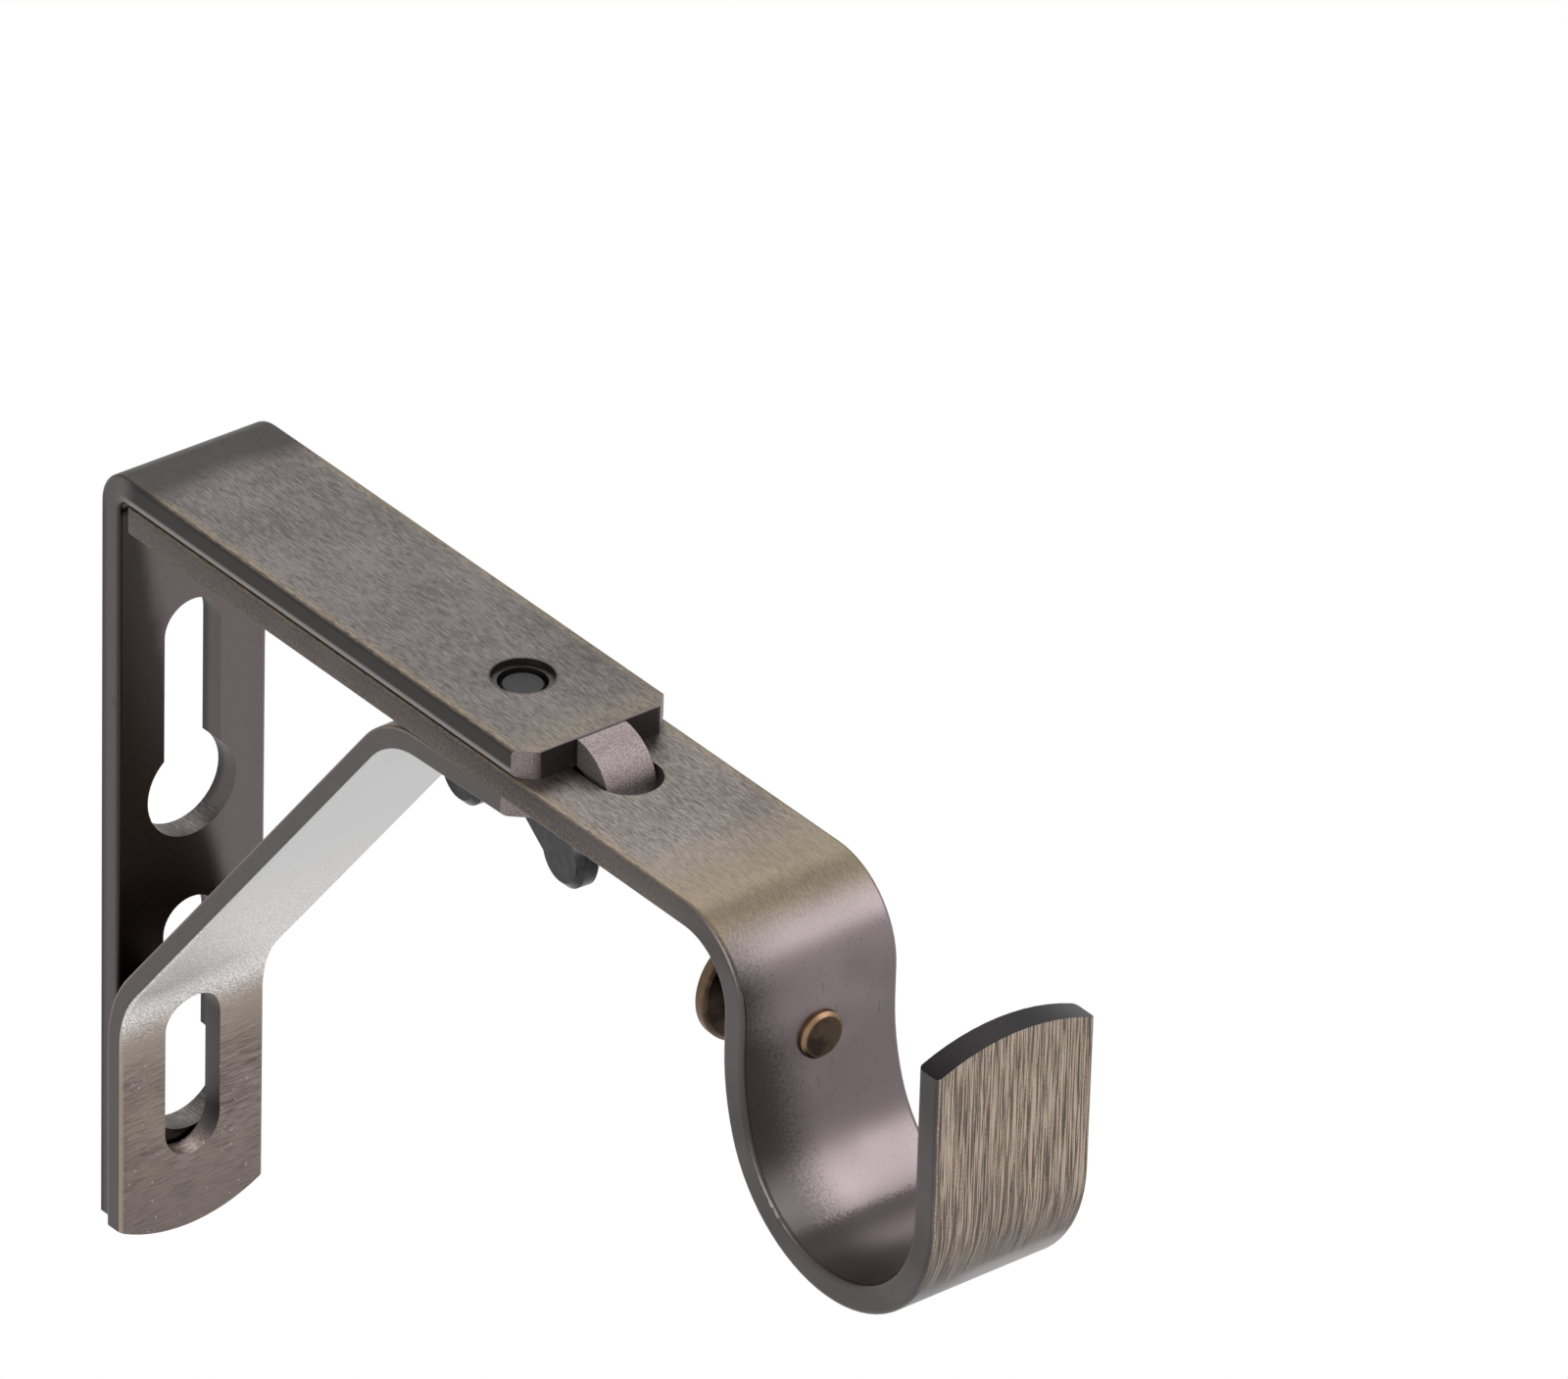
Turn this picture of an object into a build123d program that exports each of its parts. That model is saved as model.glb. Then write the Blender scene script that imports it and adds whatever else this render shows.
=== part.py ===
from build123d import *
import os
from math import atan2, cos, degrees, hypot, radians, sin, tan

# An extending wall bracket that carries one end of a curtain pole.
# A bent wall bracket holds a hook arm that slides out under it, and a diagonal brace carries both.
# X points away from the wall, Y runs along the pole and Z points up.
# The origin lies on the wall plate's back face, midway between its two keyholes.

# Strip that the bracket and the hook arm are bent from
strip_thickness = 3.0
edge_radius = 0.55
running_gap = 0.02

# How far a cutting shape runs past a face, and a joined shape into its neighbour
overcut = 1.0
bite = 1.0

# Wall bracket
bracket_width = 18.4
top_arm_reach = 68.5
top_bend_inside = 1.2
corner_clip = 2.0

# Keyholes in the wall plate
keyhole_slot_width = 6.9
keyhole_round_diameter = 10.9
keyhole_height = 27.4
keyhole_pitch = 34.8
keyhole_top_margin = 17.5
keyhole_bottom_margin = 8.3

# Tongue bent down from the end of the top arm into the hook arm's slot
tongue_width = 5.8
tongue_bend_inside = 2.2
tongue_bend_angle = 84.0
tongue_drop = 1.6

# Lock screw and the hole that it screws into
thread_diameter = 5.0
thread_gap = 0.04
lock_hole_reach = 56.3
lock_entry_diameter = 6.4
lock_entry_depth = 0.6
lock_end_below_top = 0.9
thread_chamfer = 0.5
lock_collar_diameter = 8.6
lock_collar_end_diameter = 7.2
lock_collar_height = 4.6
wing_thickness = 2.8
wing_lobe_radius = 3.6
wing_lobe_reach = 8.9
wing_drop = 6.7
wing_root_height = 2.6
wing_turn = -4.0
wing_web_top_angle = 56.0
wing_web_bottom_angle = 204.0
wing_web_inset = 0.05
wing_edge_chamfer = 0.7

# Hook arm
hook_width = 18.8
hook_bend_gap = 0.4
hook_arm_bend_outside = 9.3
hook_front = 102.95
stem_length = 3.7
throat_radius = 24.0
throat_angle = 20.0
pole_diameter = 25.0
pole_gap = 0.32
lip_rise = 18.7
lip_crown = 2.0
hook_slot_width = 7.0
hook_slot_outer_margin = 2.7
hook_slot_inner_margin = 9.0

# Brace
brace_width = 18.4
brace_thickness = 2.4
brace_foot_crown = 2.4
brace_below_plate = 1.2
brace_corner_height = 29.3
brace_bend_behind_hole = 10.1
brace_foot_bend_inside = 11.6
brace_top_bend_inside = 7.6
brace_swing = 2.0
brace_flange_clip = 4.2
brace_hole_gap = 0.25
foot_slot_width = 7.0
foot_slot_bottom_margin = 8.5
foot_slot_length = 19.0

# Pole screw through the hook's stem
pole_screw_diameter = 5.0
pole_screw_tip_length = 0.7
pole_screw_tip_chamfer = 0.35
pole_screw_height = 4.2
pole_screw_clear = 7.2
pole_head_diameter = 12.0
pole_head_thickness = 1.7
pole_head_chamfer = 0.45

# Levels and places that follow from the sizes above
keyhole_row_height = keyhole_height + keyhole_pitch
plate_height = keyhole_top_margin + keyhole_row_height + keyhole_bottom_margin
arm_top = keyhole_top_margin + keyhole_row_height / 2
plate_bottom = arm_top - plate_height
hook_top = arm_top - strip_thickness
hook_under = hook_top - strip_thickness
brace_under = hook_under - brace_thickness
stem_back = hook_front - strip_thickness
stem_top = hook_top - hook_arm_bend_outside
pole_screw_level = stem_top - pole_screw_height
cup_radius = pole_diameter / 2 + pole_gap / 2
tongue_face = top_arm_reach + tongue_bend_inside + strip_thickness
hook_slot_outer = tongue_face + hook_slot_outer_margin
hook_inner_end = strip_thickness + top_bend_inside + hook_bend_gap
hook_slot_inner = hook_inner_end + hook_slot_inner_margin


def bent_profile(start, heading, moves, thickness):
    """Side view of a bent strip, as a closed face in the XZ plane.

    A flat is a length. A bend is the radius on its inside and the turn, with left turns positive.
    The start point and the given heading belong to the strip's left side.
    """
    x, z = start
    turn = radians(heading)
    left, right = [], []

    def side_point(across):
        return (x + across * sin(turn), z - across * cos(turn))

    for move in moves:
        left_start, right_start = side_point(0), side_point(thickness)
        if isinstance(move, tuple):
            inside, angle = move
            side = 1 if angle > 0 else -1
            left_radius = inside if side > 0 else inside + thickness
            centre = (x - side * left_radius * sin(turn), z + side * left_radius * cos(turn))
            middle = turn + radians(angle) / 2
            turn += radians(angle)
            x = centre[0] + side * left_radius * sin(turn)
            z = centre[1] - side * left_radius * cos(turn)
            right_radius = left_radius + side * thickness
            outwards = (side * sin(middle), -side * cos(middle))
            left_mid = (centre[0] + left_radius * outwards[0], centre[1] + left_radius * outwards[1])
            right_mid = (centre[0] + right_radius * outwards[0], centre[1] + right_radius * outwards[1])
            left.append(ThreePointArc(left_start, left_mid, side_point(0)))
            right.append(ThreePointArc(right_start, right_mid, side_point(thickness)))
        else:
            x += move * cos(turn)
            z += move * sin(turn)
            left.append(Line(left_start, side_point(0)))
            right.append(Line(right_start, side_point(thickness)))
    first = Line(left[0] @ 0, right[0] @ 0)
    last = Line(left[-1] @ 1, right[-1] @ 1)
    return make_face(Curve() + [first, *left, last, *right])


def bent_strip(start, heading, moves, thickness, width, rounding):
    """A strip of one width, bent as the profile says, with its long edges rounded."""
    profile = Plane.XZ * bent_profile(start, heading, moves, thickness)
    strip = extrude(profile, width / 2, both=True)
    if rounding > 0:
        sides = strip.faces().filter_by(Axis.Y)
        strip = fillet(sides.edges(), rounding)
    return strip


def upright_slot(width, height):
    """An outline that stands on its lower end at the origin, with both ends round."""
    return Pos(0, height / 2) * Rot(0, 0, 90) * SlotOverall(height, width)


def through_wall(outline, level, depth):
    """Push an outline, drawn looking at the wall, through what lies within a depth of it."""
    return extrude(Plane((0, 0, level), x_dir=(0, 1, 0), z_dir=(1, 0, 0)) * outline, depth, both=True)


def keyhole_outline():
    """The round hole that passes a screw's head, with the narrow slot above it."""
    round_part = Pos(0, keyhole_round_diameter / 2) * Circle(keyhole_round_diameter / 2)
    slot_height = keyhole_height - keyhole_round_diameter / 2
    slot = Pos(0, keyhole_height - slot_height) * upright_slot(keyhole_slot_width, slot_height)
    return round_part + slot


def upright_rod(diameter, bottom, top, x):
    """A plain round rod along Z."""
    return Pos(x, 0, (bottom + top) / 2) * Cylinder(diameter / 2, top - bottom)


def clipped_corners(end, width, clip, bottom, top):
    """Wedges that cut the corners off the end of a flat strip that runs along X."""
    wedges = []
    for side in (-1, 1):
        corner = (end, side * width / 2)
        outline = Polyline(
            (corner[0] - clip, corner[1] + side * overcut),
            (corner[0] - clip, corner[1]),
            (corner[0], corner[1] - side * clip),
            (corner[0] + overcut, corner[1] - side * clip),
            (corner[0] + overcut, corner[1] + side * overcut),
            close=True,
        )
        wedges.append(extrude(Pos(0, 0, bottom) * make_face(outline), top - bottom))
    return wedges


def wall_bracket():
    """Wall plate and top arm, bent from one strip."""
    bend = (top_bend_inside, -90)
    bend_reach = top_bend_inside + strip_thickness
    moves = [plate_height - bend_reach, bend, top_arm_reach - bend_reach]
    body = bent_strip((0, plate_bottom), 90, moves, strip_thickness, bracket_width, edge_radius)
    for wedge in clipped_corners(top_arm_reach, bracket_width, corner_clip, hook_top, arm_top):
        body -= wedge
    for row in range(2):
        level = arm_top - keyhole_top_margin - keyhole_height - row * keyhole_pitch
        body -= through_wall(keyhole_outline(), level, 2 * strip_thickness)
    body += tongue()
    hole = thread_diameter + 2 * thread_gap
    body -= upright_rod(hole, hook_top - overcut, arm_top + overcut, lock_hole_reach)
    body -= upright_rod(lock_entry_diameter, arm_top - lock_entry_depth, arm_top + overcut, lock_hole_reach)
    return body


def tongue():
    """The narrow end of the top arm, bent down to guide the hook arm by its slot."""
    moves = [bite, (tongue_bend_inside, -tongue_bend_angle), tongue_drop]
    return bent_strip((top_arm_reach - bite, arm_top), 0, moves, strip_thickness, tongue_width, 0)


def hook_arm():
    """Flat arm, stem, cup and lip, bent from one strip."""
    bend_inside = hook_arm_bend_outside - strip_thickness
    moves = [
        hook_front - hook_arm_bend_outside - hook_inner_end,
        (bend_inside, -90),
        stem_length,
        (throat_radius, throat_angle),
        (cup_radius, 180 - throat_angle),
        lip_rise,
    ]
    body = bent_strip((hook_inner_end, hook_top), 0, moves, strip_thickness, hook_width, edge_radius)
    slot_length = hook_slot_outer - hook_slot_inner
    slot = Pos(hook_slot_inner + slot_length / 2, 0) * SlotOverall(slot_length, hook_slot_width)
    body -= extrude(Pos(0, 0, hook_top) * slot, 2 * strip_thickness, both=True)
    body -= lip_trim()
    bore = Cylinder((pole_screw_diameter + 2 * thread_gap) / 2, 4 * strip_thickness)
    body -= Pos(hook_front - strip_thickness / 2, 0, pole_screw_level) * Rot(0, 90, 0) * bore
    return body


def lip_front():
    """Where the lip's outer face stands, from the sizes of the cup."""
    throat_shift = throat_radius * (1 - cos(radians(throat_angle)))
    cup_width = cup_radius * (1 + cos(radians(throat_angle)))
    return hook_front + throat_shift + cup_width + strip_thickness


def cup_centre_level():
    """Height of the centre of the cup's round part."""
    throat_drop = throat_radius * sin(radians(throat_angle))
    return stem_top - stem_length - throat_drop + cup_radius * sin(radians(throat_angle))


def lip_trim():
    """Everything above the convex arc that ends the lip."""
    top = cup_centre_level() + lip_rise
    half = hook_width / 2
    radius = (half**2 + lip_crown**2) / (2 * lip_crown)
    block = Pos(0, top) * Rectangle(2 * hook_width, 4 * lip_crown)
    outline = block - Pos(0, top - radius) * Circle(radius)
    plane = Plane((lip_front() - strip_thickness / 2, 0, 0), x_dir=(0, 1, 0), z_dir=(1, 0, 0))
    return extrude(plane * outline, strip_thickness, both=True)


def brace():
    """Foot, diagonal and flange, bent from a thinner strip and swung a little about the lock screw."""
    # the swung foot touches the wall plate along one side only
    swing_gap = bracket_width / 2 * sin(radians(brace_swing)) + running_gap
    foot_back = strip_thickness + swing_gap
    foot_bottom = plate_bottom - brace_below_plate
    corner_reach = lock_hole_reach - brace_bend_behind_hole
    rise = hook_under - foot_bottom - brace_corner_height
    diagonal = hypot(rise, corner_reach - foot_back)
    slope = degrees(atan2(rise, corner_reach - foot_back))
    foot_tangent = (brace_foot_bend_inside + brace_thickness) * tan(radians(90 - slope) / 2)
    top_tangent = (brace_top_bend_inside + brace_thickness) * tan(radians(slope) / 2)
    moves = [
        brace_corner_height - foot_tangent,
        (brace_foot_bend_inside, slope - 90),
        diagonal - foot_tangent - top_tangent,
        (brace_top_bend_inside, -slope),
        top_arm_reach - corner_reach - top_tangent,
    ]
    body = bent_strip((foot_back, foot_bottom), 90, moves, brace_thickness, brace_width, edge_radius)
    body -= foot_trim(foot_bottom, foot_back)
    for wedge in clipped_corners(top_arm_reach, brace_width, brace_flange_clip, brace_under, hook_under):
        body -= wedge
    slot = upright_slot(foot_slot_width, foot_slot_length)
    body -= through_wall(slot, foot_bottom + foot_slot_bottom_margin, foot_back + 4 * brace_thickness)
    hole = thread_diameter + 2 * brace_hole_gap
    body -= upright_rod(hole, brace_under - overcut, hook_under + overcut, lock_hole_reach)
    swing_axis = Axis((lock_hole_reach, 0, 0), (0, 0, 1))
    return body.rotate(swing_axis, brace_swing)


def foot_trim(bottom, back):
    """Everything below the convex arc that ends the foot."""
    half = brace_width / 2
    radius = (half**2 + brace_foot_crown**2) / (2 * brace_foot_crown)
    block = Pos(0, bottom) * Rectangle(2 * brace_width, 4 * brace_foot_crown)
    outline = block - Pos(0, bottom + radius) * Circle(radius)
    plane = Plane((back + brace_thickness / 2, 0, 0), x_dir=(0, 1, 0), z_dir=(1, 0, 0))
    return extrude(plane * outline, brace_thickness, both=True)


def lock_screw():
    """Butterfly screw that clamps the hook arm between the brace and the top arm."""
    collar_top = brace_under - running_gap
    collar_bottom = collar_top - lock_collar_height
    tip = arm_top - lock_end_below_top
    thread = upright_rod(thread_diameter, collar_top - bite, tip, lock_hole_reach)
    thread = chamfer(thread.edges().sort_by(Axis.Z)[-1], thread_chamfer)
    collar = Cone(lock_collar_end_diameter / 2, lock_collar_diameter / 2, lock_collar_height)
    screw = thread + Pos(lock_hole_reach, 0, (collar_top + collar_bottom) / 2) * collar
    return screw + wings(collar_top, collar_bottom)


def lobe_point(side, angle, level):
    """A point just inside a lobe's rim, at an angle above the outward direction."""
    radius = wing_lobe_radius - wing_web_inset
    across = wing_lobe_reach + radius * cos(radians(angle))
    return (side * across, level + radius * sin(radians(angle)))


def wings(collar_top, collar_bottom):
    """Two round lobes that hang from the collar, joined to it by a narrower web."""
    lobe_level = collar_top - wing_drop
    root = collar_bottom + wing_root_height
    outline = Sketch()
    for side in (-1, 1):
        lobe = Pos(side * wing_lobe_reach, lobe_level) * Circle(wing_lobe_radius)
        web = make_face(Polyline(
            (0, root),
            lobe_point(side, wing_web_top_angle, lobe_level),
            lobe_point(side, wing_web_bottom_angle, lobe_level),
            (0, collar_bottom),
            close=True,
        ))
        outline += lobe + web
    plate = extrude(Plane.XZ * outline, wing_thickness / 2, both=True)
    faces = plate.faces().filter_by(Axis.Y)
    plate = chamfer(faces.edges(), wing_edge_chamfer)
    return Pos(lock_hole_reach, 0, 0) * Rot(0, 0, wing_turn) * plate


def pole_screw():
    """Thumb screw through the stem that keeps the pole from turning or lifting out."""
    tip = hook_front + pole_screw_tip_length
    head_face = stem_back - pole_screw_clear
    shank = Cylinder(pole_screw_diameter / 2, tip - head_face + bite)
    shank = chamfer(shank.edges().sort_by(Axis.Z)[-1], pole_screw_tip_chamfer)
    head = Cylinder(pole_head_diameter / 2, pole_head_thickness)
    head = chamfer(head.edges(), pole_head_chamfer)
    middle = (tip + head_face - bite) / 2
    along = Rot(0, 90, 0)
    screw = Pos(middle, 0, pole_screw_level) * along * shank
    return screw + Pos(head_face - pole_head_thickness / 2, 0, pole_screw_level) * along * head


PIECES = {
    "wall_bracket": wall_bracket,
    "hook_arm": hook_arm,
    "brace": brace,
    "lock_screw": lock_screw,
    "pole_screw": pole_screw,
}

os.makedirs("parts", exist_ok=True)
for name, make in PIECES.items():
    solid = make()
    export_step(solid, f"parts/{name}.step")
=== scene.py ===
import math

import bpy
from mathutils import Matrix, Vector


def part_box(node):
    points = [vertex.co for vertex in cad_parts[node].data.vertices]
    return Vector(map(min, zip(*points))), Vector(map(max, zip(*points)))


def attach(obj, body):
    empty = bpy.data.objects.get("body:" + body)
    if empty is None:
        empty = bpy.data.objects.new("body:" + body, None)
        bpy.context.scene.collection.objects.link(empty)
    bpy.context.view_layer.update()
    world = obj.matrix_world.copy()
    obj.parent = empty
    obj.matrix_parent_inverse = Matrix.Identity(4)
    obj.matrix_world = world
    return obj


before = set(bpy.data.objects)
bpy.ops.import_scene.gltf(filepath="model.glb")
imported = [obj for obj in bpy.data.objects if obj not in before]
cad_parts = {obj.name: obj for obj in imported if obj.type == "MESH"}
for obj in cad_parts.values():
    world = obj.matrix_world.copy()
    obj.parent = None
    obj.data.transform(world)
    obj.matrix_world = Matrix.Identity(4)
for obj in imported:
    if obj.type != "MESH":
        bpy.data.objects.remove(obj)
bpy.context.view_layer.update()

# The wall bracket is a strip of plated steel bent once, into a wall plate and a top arm.
# Its outside was brushed after plating, so the plating there is thin and golden at the edges.
# The inside of the bend was never brushed: it is glossy plum, with a dark reflection painted over one side.

bump_depth = 0.00004


class Wire:
    """One output in a material's nodes. Arithmetic on wires and numbers adds Math nodes."""

    def __init__(self, finish, socket):
        self.finish = finish
        self.socket = socket

    def maths(self, operation, first, second):
        return self.finish.add("ShaderNodeMath", {"operation": operation}, {0: first, 1: second})

    def __add__(self, other):
        return self.maths("ADD", self, other)

    def __radd__(self, other):
        return self.maths("ADD", other, self)

    def __sub__(self, other):
        return self.maths("SUBTRACT", self, other)

    def __rsub__(self, other):
        return self.maths("SUBTRACT", other, self)

    def __mul__(self, other):
        return self.maths("MULTIPLY", self, other)

    def __rmul__(self, other):
        return self.maths("MULTIPLY", other, self)

    def __abs__(self):
        return self.maths("ABSOLUTE", self, 0.0)

    def at_least(self, other):
        return self.maths("MAXIMUM", self, other)


class Finish:
    """A metal finish for one piece. Places are in metres on the piece's own coordinates."""

    def __init__(self, name, metallic=1.0):
        self.material = bpy.data.materials.new(name)
        self.material.use_nodes = True
        self.nodes = self.material.node_tree.nodes
        self.links = self.material.node_tree.links
        self.shader = self.nodes["Principled BSDF"]
        self.shader.inputs["Metallic"].default_value = metallic
        self.place = self.add("ShaderNodeTexCoord", {}, {}, "Object")
        self.facing = self.add("ShaderNodeTexCoord", {}, {}, "Normal")

    def add(self, kind, settings, sockets, output=0):
        node = self.nodes.new(kind)
        for key, value in settings.items():
            setattr(node, key, value)
        for key, value in sockets.items():
            if isinstance(value, Wire):
                self.links.new(value.socket, node.inputs[key])
            else:
                node.inputs[key].default_value = value
        return Wire(self, node.outputs[output])

    def axes(self, vector):
        split = self.add("ShaderNodeSeparateXYZ", {}, {0: vector}).socket.node
        return [Wire(self, split.outputs[i]) for i in range(3)]

    def step(self, value, start, end):
        """0 before start and 1 after end, with a smooth change between."""
        low, high, flip = (start, end, False) if start < end else (end, start, True)
        sockets = {"Value": value, "From Min": low, "From Max": high}
        ramp = self.add("ShaderNodeMapRange", {"interpolation_type": "SMOOTHSTEP"}, sockets)
        return 1.0 - ramp if flip else ramp

    def noise(self, scales, detail, turn=(0.0, 0.0, 0.0), offset=(0.0, 0.0, 0.0)):
        """Noise between about 0 and 1, with its own scale along each axis, per metre."""
        sockets = {"Vector": self.place, "Rotation": turn, "Scale": scales, "Location": offset}
        moved = self.add("ShaderNodeMapping", {}, sockets)
        sockets = {"Vector": moved, "Scale": 1.0, "Detail": detail, "Roughness": 0.6}
        return self.add("ShaderNodeTexNoise", {}, sockets)

    def mix(self, share, first, second):
        """A colour between two others, each a wire or three numbers."""
        full = [c if isinstance(c, Wire) else (*c, 1.0) for c in (first, second)]
        sockets = {0: share, 6: full[0], 7: full[1]}
        return self.add("ShaderNodeMix", {"data_type": "RGBA", "clamp_factor": True}, sockets, 2)

    def finish(self, colour, roughness, height, strength):
        sockets = {"Height": height, "Strength": strength, "Distance": bump_depth}
        bump = self.add("ShaderNodeBump", {}, sockets)
        self.links.new(colour.socket, self.shader.inputs["Base Color"])
        self.links.new(roughness.socket, self.shader.inputs["Roughness"])
        self.links.new(bump.socket, self.shader.inputs["Normal"])
        return self.material


def put_on(node, material):
    """Give a piece of the frame its finish, in place of the plain one."""
    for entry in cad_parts[node].material_slots:
        entry.material = material


# colours are linear red, green and blue
arm_dull = (0.054, 0.048, 0.046)
arm_light = (0.142, 0.130, 0.122)
bend_shade_tone = (0.028, 0.025, 0.024)
worn_hole = (0.030, 0.027, 0.025)
side_grey = (0.108, 0.096, 0.094)
# a painted highlight and painted shade for the sides
side_highlight = (0.260, 0.246, 0.240)
side_shade_black = (0.012, 0.011, 0.011)
plum_plate = (0.158, 0.132, 0.134)
# the next colour is a painted dark reflection, for one side of the inside of the bend
painted_reflection_black = (0.046, 0.040, 0.039)
gold_plate = (0.180, 0.140, 0.092)
sheared_steel = (0.285, 0.240, 0.242)
torn_steel = (0.150, 0.121, 0.121)
burr = (0.026, 0.022, 0.022)
arm_scratch = (0.050, 0.044, 0.041)

bracket_low, bracket_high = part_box("wall_bracket")
arm_top = bracket_high.z
strip = 0.003
bracket_half = (bracket_high.y - bracket_low.y) / 2
top_arm_end = 0.0685
lock_hole_reach = 0.0563

# lines of noise for each metre, along x, y and z
along_arm = (600.0, 6800.0, 2700.0)
grit_scale = 6500.0
plating_relief = 0.28

# square millimetres in a square metre, and squares of the distance from the hole's axis
square_mm = 1.0e6
worn_ring = (12.6, 10.6)


def brushed(f, scales, dull, light):
    """Brushed plating: fine lines along one direction, over broad clouds of dulled, discoloured plating."""
    lines = f.noise(scales, 3.0)
    fine = f.noise(tuple(2.1 * s for s in scales), 2.0, offset=(9.0, 2.0, 4.0))
    clouds = f.noise((80.0, 80.0, 80.0), 2.0, offset=(3.0, 1.0, 7.0))
    tone = f.step(lines * 0.36 + fine * 0.48 + clouds * 0.16, 0.41, 0.59)
    return f.mix(tone, dull, light), lines, fine


def sheared(f):
    """The grain of a cut face, and its colour, torn in the hollows."""
    grit = f.noise((grit_scale, grit_scale, grit_scale), 1.0)
    return grit, f.mix(f.step(grit, 0.30, 0.66), torn_steel, sheared_steel)


def bracket_finish():
    f = Finish("bracket_plating")
    x, y, z = f.axes(f.place)
    nx, ny = f.axes(f.facing)[:2]
    top, lines, fine = brushed(f, along_arm, arm_dull, arm_light)
    rub = f.step(abs(y), bracket_half - 0.0015, bracket_half - 0.0005) * 0.8
    end_rub = f.step(x, top_arm_end - 0.0060, top_arm_end - 0.0005) * 0.6
    colour = f.mix(rub.at_least(end_rub) * f.step(fine, 0.35, 0.62), top, gold_plate)
    # painted shade over the bend and at its two corners
    corner = f.step(x, 0.013, 0.003) * f.step(abs(y), bracket_half - 0.006, bracket_half - 0.001)
    bend_shade = f.step(x - abs(y) * 0.15, 0.0105, 0.0060) * f.step(x, 0.0012, 0.0040)
    bend_and_corner_shade = corner.at_least(bend_shade)
    colour = f.mix(bend_and_corner_shade * 0.85, colour, bend_shade_tone)
    # the round hole's edge is worn through to dark steel
    from_hole = x - lock_hole_reach
    ring = (from_hole * from_hole + y * y) * square_mm
    colour = f.mix(f.step(ring, *worn_ring) * 0.75, colour, worn_hole)
    # painted light on the sides: painted shade on the arm's side above and a painted highlight line below,
    # and painted shade on the plate's side at the back
    side = f.step(abs(ny), 0.5, 0.9)
    arm_side = f.step(z, arm_top - 0.0050, arm_top - 0.0032) * f.step(x, 0.002, 0.006)
    side_colour = f.mix(arm_side, side_grey, side_highlight)
    back_edge_shade = f.step(x, 0.0014, 0.0004) * f.step(z, arm_top - 0.002, arm_top - 0.006) * 0.6
    painted_side_shade = back_edge_shade.at_least(arm_side * f.step(z, arm_top - 0.0024, arm_top - 0.0019))
    side_colour = f.mix(painted_side_shade * 0.9, side_colour, side_shade_black)
    colour = f.mix(side * 0.95, colour, side_colour)
    # inside the bend the plating is plum, and a painted dark reflection turns it black across the strip,
    # along a slanting line
    inside = f.step(x, strip + 0.0012, strip - 0.0004) * f.step(nx, 0.3, 0.8)
    drift = f.noise((60.0, 160.0, 60.0), 3.0, offset=(4.0, 4.0, 1.0)) * 0.004 - 0.002
    dark_reflection_share = f.step(y + z * 0.24 + drift, 0.0042, 0.0016)
    plum_with_dark_reflection = f.mix(dark_reflection_share, plum_plate, painted_reflection_black)
    colour = f.mix(inside, colour, plum_with_dark_reflection)
    # the tongue and the arm's end are sheared, not plated, and the end is burred between its corners
    tongue = f.step(x, top_arm_end - 0.0004, top_arm_end + 0.0001)
    cut = tongue.at_least(f.step(nx, 0.3, 0.6) * f.step(x, top_arm_end - 0.003, top_arm_end - 0.002))
    grit, bare = sheared(f)
    colour = f.mix(cut, colour, bare)
    burred = f.step(x, top_arm_end + 0.0003, top_arm_end + 0.0001) * f.step(abs(y), 0.0080, 0.0068) * cut
    colour = f.mix(burred * 0.9, colour, burr)
    scratch = f.step(f.noise((300.0, 6200.0, 400.0), 1.0, turn=(0.0, 0.0, 0.6)), 0.71, 0.77)
    colour = f.mix(scratch * (1.0 - cut) * 0.5, colour, arm_scratch)
    roughness = 0.40 + fine * 0.14 - inside * 0.26 + cut * 0.10
    height = lines * 0.4 + fine * 0.4 + grit * cut * 0.6
    return f.finish(colour, roughness, height, plating_relief)


put_on("wall_bracket", bracket_finish())

# The hook arm is a longer strip of the same steel: a slotted flat, a stem, a round cup and a lip.
# Its top and the outside of its lip are brushed. The stem and the cup keep the smooth mauve plating.

flat_dull = (0.066, 0.058, 0.053)
flat_light = (0.190, 0.168, 0.154)
mauve_dull = (0.172, 0.141, 0.145)
mauve_plate = (0.228, 0.189, 0.195)
# soot darkened further by painted shade, for one side of the stem
soot_and_shade_black = (0.040, 0.036, 0.035)
# painted dark reflection, for the bottom of the cup
cup_dark_reflection = (0.050, 0.039, 0.039)
smooth_speckle = (0.070, 0.060, 0.060)
lip_dark = (0.112, 0.089, 0.072)
lip_bright = (0.480, 0.388, 0.308)
lip_worn = (0.100, 0.082, 0.070)
lip_shadow = (0.085, 0.074, 0.068)
lip_margin = (0.120, 0.100, 0.096)
lip_top_black = (0.008, 0.007, 0.007)
hook_side_dark = (0.062, 0.055, 0.054)
hook_side_light = (0.102, 0.088, 0.090)
hook_scratch = (0.050, 0.044, 0.044)

hook_low, hook_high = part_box("hook_arm")
hook_half = (hook_high.y - hook_low.y) / 2
hook_top = arm_top - strip
lip_front = hook_high.x
flat_end = 0.0975
stem_front = 0.10295
cup_level = 0.02872
speckle_scale = 3600.0


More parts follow.
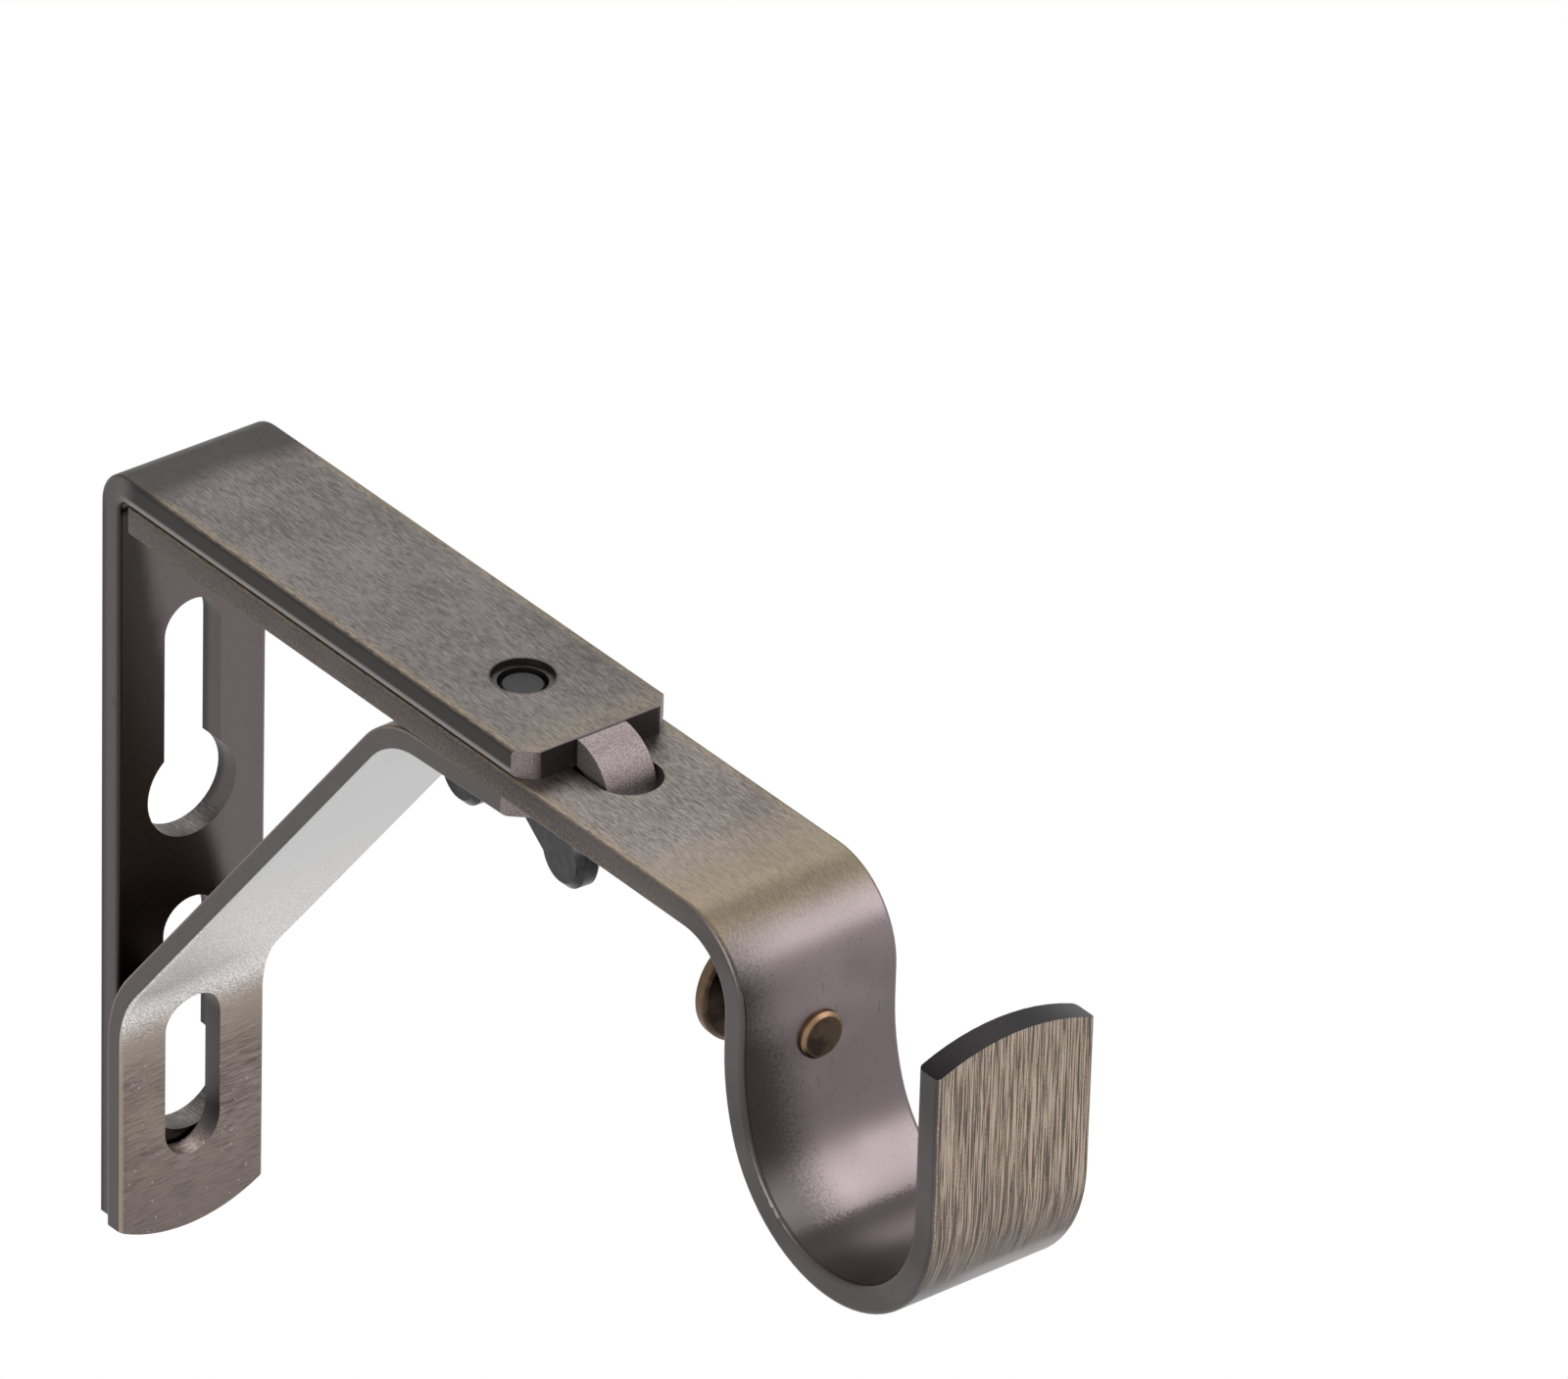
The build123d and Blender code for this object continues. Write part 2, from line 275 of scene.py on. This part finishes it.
def smooth_plating(f, y, z, nz, drift, speckle):
    """The mauve plating of the stem and the cup, with soot and painted shade along one side and a painted
    dark reflection in the bottom of the cup.
    """
    smooth = f.mix(f.step(drift, 0.35, 0.65), mauve_dull, mauve_plate)
    # soot along one side with painted shade over it, reaching furthest across in the throat
    throat_shade = f.step(z, cup_level + 0.008, cup_level + 0.001) * 0.0032
    soot_and_shade = f.step(y + speckle * 0.007 - throat_shade, -0.0008, -0.0066)
    smooth = f.mix(soot_and_shade * 0.78, smooth, soot_and_shade_black)
    # painted dark reflection where the bottom of the cup faces up
    blotches = f.step(z + speckle * 0.0008, cup_level - 0.0109, cup_level - 0.0114) * f.step(nz, 0.4, 0.7)
    smooth = f.mix(blotches * 0.8, smooth, cup_dark_reflection)
    return f.mix(f.step(speckle, 0.60, 0.72) * 0.35, smooth, smooth_speckle)


def brushed_lip(f, y, z, speckle):
    """The outside of the lip: pale metal with fine dark streaks down it, dark where it curves under."""
    streaks = f.noise((90.0, 6000.0, 90.0), 1.0)
    hairs = f.noise((260.0, 11500.0, 260.0), 1.0, offset=(6.0, 3.0, 1.0))
    lip_tone = f.step(streaks * 0.50 + hairs * 0.38 + speckle * 0.12, 0.43, 0.57)
    lip = f.mix(lip_tone, lip_dark, lip_bright)
    worn = f.step(f.noise((70.0, 1900.0, 70.0), 1.0, offset=(2.0, 7.0, 3.0)), 0.60, 0.72)
    lip = f.mix(worn * 0.55, lip, lip_worn)
    low_lip = f.step(z, cup_level + 0.002, cup_level - 0.008)
    lip = f.mix(low_lip * (0.85 - lip_tone * 0.25), lip, lip_shadow)
    margin = f.step(y, 0.0009 - hook_half, 0.0004 - hook_half)
    return streaks, f.mix(margin * f.step(speckle, 0.36, 0.60) * 0.6, lip, lip_margin)


def hook_finish():
    f = Finish("hook_plating")
    x, y, z = f.axes(f.place)
    nx, ny, nz = f.axes(f.facing)
    flat, lines, fine = brushed(f, along_arm, flat_dull, flat_light)
    rub = f.step(abs(y), hook_half - 0.0016, hook_half - 0.0006) * f.step(fine, 0.35, 0.6)
    flat = f.mix(rub * 0.7, flat, gold_plate)
    # the brush pressed hardest where the flat starts to bend, and the gold shows there
    crown = f.step(x, flat_end - 0.0155, flat_end - 0.0025) * f.step(x, flat_end + 0.0035, flat_end)
    flat = f.mix(crown * (0.35 + fine * 0.5), flat, gold_plate)
    drift = f.noise((40.0, 60.0, 90.0), 2.0, offset=(1.0, 5.0, 2.0))
    speckle = f.noise((speckle_scale, speckle_scale, speckle_scale), 3.0, offset=(2.0, 2.0, 2.0))
    off_flat = f.step(x, flat_end, flat_end + 0.0040)
    colour = f.mix(off_flat, flat, smooth_plating(f, y, z, nz, drift, speckle))
    streaks, lip = brushed_lip(f, y, z, speckle)
    outside = f.step(x, lip_front - 0.0026, lip_front - 0.0016) * f.step(nx, 0.2, 0.6)
    colour = f.mix(outside, colour, lip)
    # the side is dark, with gold specks along the flat, brightest low down
    side = f.step(abs(ny), 0.5, 0.9)
    side_tone = f.mix(f.step(drift, 0.3, 0.7), hook_side_dark, hook_side_light)
    low_down = f.step(z, hook_top - 0.0012, hook_top - 0.0024)
    low_edge = low_down * f.step(x, flat_end - 0.0015, flat_end - 0.0075)
    specks = f.step(x, flat_end + 0.0005, flat_end - 0.0075) * f.step(speckle, 0.42, 0.62)
    side_tone = f.mix(specks * (0.30 + low_edge * 0.40), side_tone, gold_plate)
    colour = f.mix(side, colour, side_tone)
    lip_top = f.step(nz, 0.35, 0.60) * f.step(x, lip_front - 0.0036, lip_front - 0.0031)
    colour = f.mix(lip_top, colour, lip_top_black)
    scratch = f.step(f.noise((5200.0, 5200.0, 420.0), 1.0, turn=(0.25, 0.0, 0.0)), 0.69, 0.74)
    colour = f.mix(scratch * off_flat * (1.0 - outside) * 0.5, colour, hook_scratch)
    roughness = 0.40 - off_flat * (1.0 - outside) * 0.10 + fine * 0.08
    height = lines * (1.0 - off_flat) + streaks * outside * 0.35 + speckle * off_flat * 0.15
    return f.finish(colour, roughness, height, plating_relief)


put_on("hook_arm", hook_finish())

# The brace is a thinner strip. Its foot rests on the wall plate and its flange is clamped under the arm.
# The foot is brushed across, and a pale, speckled painted reflection of the floor covers the diagonal's
# underside.

foot_dull = (0.108, 0.087, 0.080)
foot_light = (0.300, 0.243, 0.220)
foot_gold = (0.290, 0.232, 0.180)
foot_low = (0.140, 0.116, 0.116)
foot_specks = (0.520, 0.470, 0.440)
foot_edge = (0.420, 0.330, 0.260)
foot_top_gold = (0.400, 0.335, 0.280)
# the next three colours are painted reflections of the floor, for the diagonal's underside
floor_reflection_speckled = (0.480, 0.455, 0.440)
floor_reflection_bright = (0.900, 0.885, 0.875)
floor_reflection_smooth = (0.630, 0.625, 0.625)
flange_plate = (0.230, 0.190, 0.184)
brace_side_dark = (0.094, 0.083, 0.082)
brace_side_light = (0.128, 0.114, 0.112)

brace_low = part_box("brace")[0]
foot_flat_top = brace_low.z + 0.0235
speckled_up_to = -0.006
smooth_from = 0.020
clipped_corners = 0.060
across_foot = (2400.0, 260.0, 8200.0)
steel_grain = 5600.0


def brace_foot(f, y, z, speckle):
    """The brushed foot: gold in clouds and at its top, mauve low down, with one bright edge."""
    foot, lines, fine = brushed(f, across_foot, foot_dull, foot_light)
    gold = f.step(f.noise((120.0, 150.0, 120.0), 2.0), 0.42, 0.68)
    foot = f.mix(gold * 0.5, foot, foot_gold)
    foot = f.mix(f.step(z, foot_flat_top - 0.010, foot_flat_top - 0.022) * 0.5, foot, foot_low)
    specks = f.step(f.noise((2600.0, 2600.0, 2600.0), 0.0, offset=(5.0, 1.0, 8.0)), 0.79, 0.84)
    foot = f.mix(specks * 0.6, foot, foot_specks)
    bright_edge = f.step(y, brace_low.y + 0.0006, brace_low.y + 0.0003)
    foot = f.mix(bright_edge * 0.6, foot, foot_edge)
    fade = f.step(z + speckle * 0.004, foot_flat_top - 0.003, foot_flat_top + 0.003)
    return f.mix(fade * 0.6, foot, foot_top_gold), lines, fine


def brace_finish():
    f = Finish("brace_plating")
    x, y, z = f.axes(f.place)
    nx, ny, nz = f.axes(f.facing)
    speckle = f.noise((steel_grain, steel_grain, steel_grain), 2.0)
    foot, lines, fine = brace_foot(f, y, z, speckle)
    # painted reflection of the floor under the diagonal: speckled near the foot, smooth and pale at the top
    pale = f.mix(f.step(speckle, 0.38, 0.62), floor_reflection_speckled, floor_reflection_bright)
    pale = f.mix(f.step(z, speckled_up_to, smooth_from), pale, floor_reflection_smooth)
    under = f.step(nz, -0.30, -0.52) * f.step(nz, -0.93, -0.75)
    climb = f.step(z + speckle * 0.004, foot_flat_top + 0.001, foot_flat_top + 0.007)
    colour = f.mix(under.at_least(climb * f.step(nx, 0.2, 0.4)) * climb, foot, pale)
    flange = f.step(nz, -0.80, -0.97)
    colour = f.mix(flange, colour, flange_plate)
    side = f.step(abs(ny), 0.5, 0.85) * f.step(abs(nx), 0.55, 0.35)
    side_tone = f.mix(f.step(fine, 0.3, 0.7), brace_side_dark, brace_side_light)
    colour = f.mix(side, colour, side_tone)
    # the clipped corners of the flange are sheared
    bare = sheared(f)[1]
    slanting = f.step(abs(ny), 0.45, 0.6) * f.step(abs(nx), 0.45, 0.6)
    cut = slanting * f.step(x, clipped_corners, clipped_corners + 0.002)
    colour = f.mix(cut, colour, bare)
    roughness = 0.42 + fine * 0.10
    height = lines * 0.4 + speckle * climb * 0.25 + fine * 0.3
    return f.finish(colour, roughness, height, plating_relief)


put_on("brace", brace_finish())

# The lock screw is a cast butterfly screw with a glossy black coat.
# It goes up through the brace and the hook arm's slot, and its end shows in the top arm's hole.

coat_dark = (0.010, 0.010, 0.011)
coat_light = (0.030, 0.030, 0.032)
lock_end_tone = (0.014, 0.013, 0.013)


def lock_screw_finish():
    f = Finish("black_screw", metallic=0.6)
    z = f.axes(f.place)[2]
    cast = f.noise((900.0, 900.0, 900.0), 3.0)
    colour = f.mix(f.step(cast, 0.4, 0.7), coat_dark, coat_light)
    end = f.step(z, arm_top - 0.0022, arm_top - 0.0014)
    colour = f.mix(end * f.step(cast, 0.3, 0.6), colour, lock_end_tone)
    return f.finish(colour, 0.22 + cast * 0.16 + end * 0.20, cast, 0.25)


put_on("lock_screw", lock_screw_finish())

# The pole screw is turned from brass, with a round flat head behind the stem.
# Its thread shows between the head and the stem, and its end shows inside the cup.

brass_dark = (0.028, 0.020, 0.013)
brass_light = (0.075, 0.052, 0.032)
brass_rubbed = (0.300, 0.190, 0.112)

# squares of the distance from its axis, in square millimetres
end_rim = (3.9, 5.2)
head_edge = (32.5, 35.5)

pole_low, pole_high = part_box("pole_screw")
pole_level = (pole_low.z + pole_high.z) / 2
thread_radius = 0.00250
thread_pitch = 0.0008
thread_ridge = 0.00016
ridge_sunk = 0.4
thread_margin = 0.0002
steps_per_turn = 28
ridge_corners = 6
head_depth = 0.0017
stem_back = stem_front - strip
thread_start = pole_low.x + head_depth + thread_margin
thread_end = stem_back - thread_margin


def brass_finish():
    f = Finish("brass_screw")
    x, y, z = f.axes(f.place)
    # the brass's own stains, in blotches
    blotches = f.noise((420.0, 420.0, 420.0), 4.0)
    colour = f.mix(f.step(blotches, 0.36, 0.62), brass_dark, brass_light)
    # the rim of its end in the cup is rubbed bright, and the edge of its head a little
    up = z - pole_level
    reach = (y * y + up * up) * square_mm
    rim = f.step(reach, *end_rim) * f.step(x, stem_front - 0.001, stem_front)
    head_rim = f.step(reach, *head_edge)
    colour = f.mix(rim.at_least(head_rim * 0.4) * 0.8, colour, brass_rubbed)
    return f.finish(colour, 0.32 + blotches * 0.14, blotches, 0.2)


brass = brass_finish()
put_on("pole_screw", brass)


def thread_tree():
    """A helix of a given radius, pitch and length along Z, with a small round ridge swept along it."""
    tree = bpy.data.node_groups.new("screw_thread", "GeometryNodeTree")
    tree.interface.new_socket("Geometry", in_out="OUTPUT", socket_type="NodeSocketGeometry")
    for label in ("Radius", "Pitch", "Length", "Ridge"):
        tree.interface.new_socket(label, in_out="INPUT", socket_type="NodeSocketFloat")
    tree.interface.new_socket("Material", in_out="INPUT", socket_type="NodeSocketMaterial")
    nodes, links = tree.nodes, tree.links
    given, made = nodes.new("NodeGroupInput"), nodes.new("NodeGroupOutput")
    turns = nodes.new("ShaderNodeMath")
    turns.operation = "DIVIDE"
    links.new(given.outputs["Length"], turns.inputs[0])
    links.new(given.outputs["Pitch"], turns.inputs[1])
    helix = nodes.new("GeometryNodeCurveSpiral")
    helix.inputs["Resolution"].default_value = steps_per_turn
    links.new(turns.outputs[0], helix.inputs["Rotations"])
    links.new(given.outputs["Radius"], helix.inputs["Start Radius"])
    links.new(given.outputs["Radius"], helix.inputs["End Radius"])
    links.new(given.outputs["Length"], helix.inputs["Height"])
    ridge = nodes.new("GeometryNodeCurvePrimitiveCircle")
    ridge.inputs["Resolution"].default_value = ridge_corners
    links.new(given.outputs["Ridge"], ridge.inputs["Radius"])
    sweep = nodes.new("GeometryNodeCurveToMesh")
    sweep.inputs["Fill Caps"].default_value = True
    links.new(helix.outputs["Curve"], sweep.inputs["Curve"])
    links.new(ridge.outputs["Curve"], sweep.inputs["Profile Curve"])
    solid = nodes.new("GeometryNodeRealizeInstances")
    links.new(sweep.outputs["Mesh"], solid.inputs["Geometry"])
    coat = nodes.new("GeometryNodeSetMaterial")
    links.new(solid.outputs["Geometry"], coat.inputs["Geometry"])
    links.new(given.outputs["Material"], coat.inputs["Material"])
    links.new(coat.outputs["Geometry"], made.inputs["Geometry"])
    return tree


def grow(name, tree, values, place):
    """Run a node tree with these inputs, and keep its result as a plain mesh with its place in it."""
    holder = bpy.data.objects.new(name + "_holder", bpy.data.meshes.new(name + "_holder"))
    bpy.context.scene.collection.objects.link(holder)
    modifier = holder.modifiers.new("nodes", "NODES")
    modifier.node_group = tree
    for item in tree.interface.items_tree:
        if item.in_out == "INPUT" and item.name in values:
            modifier[item.identifier] = values[item.name]
    shown = holder.evaluated_get(bpy.context.evaluated_depsgraph_get())
    mesh = bpy.data.meshes.new_from_object(shown)
    bpy.data.objects.remove(holder)
    mesh.transform(place)
    piece = bpy.data.objects.new(name, mesh)
    bpy.context.scene.collection.objects.link(piece)
    return piece


along_x = Matrix.Rotation(math.pi / 2, 4, "Y")
thread = grow(
    "pole_screw_thread",
    thread_tree(),
    {
        "Radius": thread_radius - thread_ridge * ridge_sunk,
        "Pitch": thread_pitch,
        "Length": thread_end - thread_start,
        "Ridge": thread_ridge,
        "Material": brass,
    },
    Matrix.Translation((thread_start, 0.0, pole_level)) @ along_x,
)
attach(thread, "thumb")

# The stage is a pale floor some way below the bracket, with soft lamps round it.
# The floor and the world are plain white to the camera and in the gloss of the metal.
# From below the floor is clear, so that the underside of the bracket can be looked at.

floor_drop = 0.16
floor_level = bracket_low.z - floor_drop
floor_size = 3.0
floor_grey = (0.86, 0.86, 0.86, 1.0)
plain_white = (1.0, 1.0, 1.0, 1.0)
world_strength = 0.60


def seen_or_reflected(nodes, links):
    """1 for what is seen straight, in gloss or through glass, and 0 for the light that falls on things."""
    ray = nodes.new("ShaderNodeLightPath")
    seen = ray.outputs["Is Camera Ray"]
    for label in ("Is Glossy Ray", "Is Transmission Ray"):
        either = nodes.new("ShaderNodeMath")
        either.operation = "MAXIMUM"
        links.new(seen, either.inputs[0])
        links.new(ray.outputs[label], either.inputs[1])
        seen = either.outputs[0]
    return seen


def pale_floor():
    material = bpy.data.materials.new("pale_floor")
    material.use_nodes = True
    nodes, links = material.node_tree.nodes, material.node_tree.links
    paint = nodes["Principled BSDF"]
    paint.inputs["Base Color"].default_value = floor_grey
    paint.inputs["Roughness"].default_value = 0.9
    glow = nodes.new("ShaderNodeEmission")
    glow.inputs["Color"].default_value = plain_white
    blend = nodes.new("ShaderNodeMixShader")
    links.new(seen_or_reflected(nodes, links), blend.inputs[0])
    links.new(paint.outputs[0], blend.inputs[1])
    links.new(glow.outputs[0], blend.inputs[2])
    clear = nodes.new("ShaderNodeBsdfTransparent")
    side = nodes.new("ShaderNodeNewGeometry")
    one_way = nodes.new("ShaderNodeMixShader")
    links.new(side.outputs["Backfacing"], one_way.inputs[0])
    links.new(blend.outputs[0], one_way.inputs[1])
    links.new(clear.outputs[0], one_way.inputs[2])
    links.new(one_way.outputs[0], nodes["Material Output"].inputs["Surface"])
    mesh = bpy.data.meshes.new("floor")
    half = floor_size / 2
    corners = [(x, y, floor_level) for x, y in ((-half, -half), (half, -half), (half, half), (-half, half))]
    mesh.from_pydata(corners, [], [(0, 1, 2, 3)])
    mesh.materials.append(material)
    floor = bpy.data.objects.new("floor", mesh)
    bpy.context.scene.collection.objects.link(floor)


def world_light(strength):
    world = bpy.data.worlds.new("studio")
    world.use_nodes = True
    nodes, links = world.node_tree.nodes, world.node_tree.links
    soft = nodes["Background"]
    soft.inputs["Color"].default_value = plain_white
    soft.inputs["Strength"].default_value = strength
    seen = nodes.new("ShaderNodeBackground")
    seen.inputs["Color"].default_value = plain_white
    seen.inputs["Strength"].default_value = 1.0
    blend = nodes.new("ShaderNodeMixShader")
    links.new(seen_or_reflected(nodes, links), blend.inputs[0])
    links.new(soft.outputs[0], blend.inputs[1])
    links.new(seen.outputs[0], blend.inputs[2])
    links.new(blend.outputs[0], nodes["World Output"].inputs["Surface"])
    bpy.context.scene.world = world


def lamp(name, place, aim, size, watts):
    data = bpy.data.lights.new(name, "AREA")
    data.shape = "RECTANGLE"
    data.size, data.size_y = size
    data.energy = watts
    light = bpy.data.objects.new(name, data)
    light.location = place
    light.rotation_euler = (Vector(aim) - Vector(place)).to_track_quat("-Z", "Y").to_euler()
    bpy.context.scene.collection.objects.link(light)


pale_floor()
world_light(world_strength)
middle = (0.066, 0.0, 0.01)
lamp("overhead_soft_box", (-0.55, 0.35, 0.85), middle, (0.7, 0.5), 3.5)
lamp("side_soft_box", (0.25, -0.9, 0.35), middle, (0.5, 0.5), 5.0)
lamp("front_soft_box", (0.52, 0.52, 0.74), middle, (0.75, 0.75), 4.2)

# The camera stands where the photograph was taken from, about a metre and a half away.

picture_width = 1600.0
picture_height = 1407.0
camera_azimuth = math.radians(52.64)
camera_elevation = math.radians(31.08)
camera_roll = 0.014
camera_distance = 1.464
camera_focal_pixels = 15428.0
looked_at = Vector((0.0366, 0.0, arm_top))
looked_at_pixel = (407.7, 601.5)


def photo_camera():
    back = Vector((
        math.sin(camera_azimuth) * math.cos(camera_elevation),
        -math.cos(camera_azimuth) * math.cos(camera_elevation),
        math.sin(camera_elevation),
    ))
    level = Vector((math.cos(camera_azimuth), math.sin(camera_azimuth), 0.0))
    upright = back.cross(level)
    right = math.cos(camera_roll) * level + math.sin(camera_roll) * upright
    up = -math.sin(camera_roll) * level + math.cos(camera_roll) * upright
    # the looked-at point is off the picture's middle, so the camera turns a little to face the middle
    across = (picture_width / 2 - looked_at_pixel[0]) / camera_focal_pixels
    down = (picture_height / 2 - looked_at_pixel[1]) / camera_focal_pixels
    backwards = (back - across * right + down * up).normalized()
    right = (right - right.dot(backwards) * backwards).normalized()
    up = backwards.cross(right)
    data = bpy.data.cameras.new("camera")
    data.sensor_width = 36.0
    data.lens = camera_focal_pixels * data.sensor_width / picture_width
    data.clip_start, data.clip_end = 0.05, 20.0
    camera = bpy.data.objects.new("camera", data)
    turn = Matrix((right, up, backwards)).transposed().to_4x4()
    camera.matrix_world = Matrix.Translation(looked_at + camera_distance * back) @ turn
    bpy.context.scene.collection.objects.link(camera)
    bpy.context.scene.camera = camera


photo_camera()
bpy.context.scene.view_settings.view_transform = "Standard"
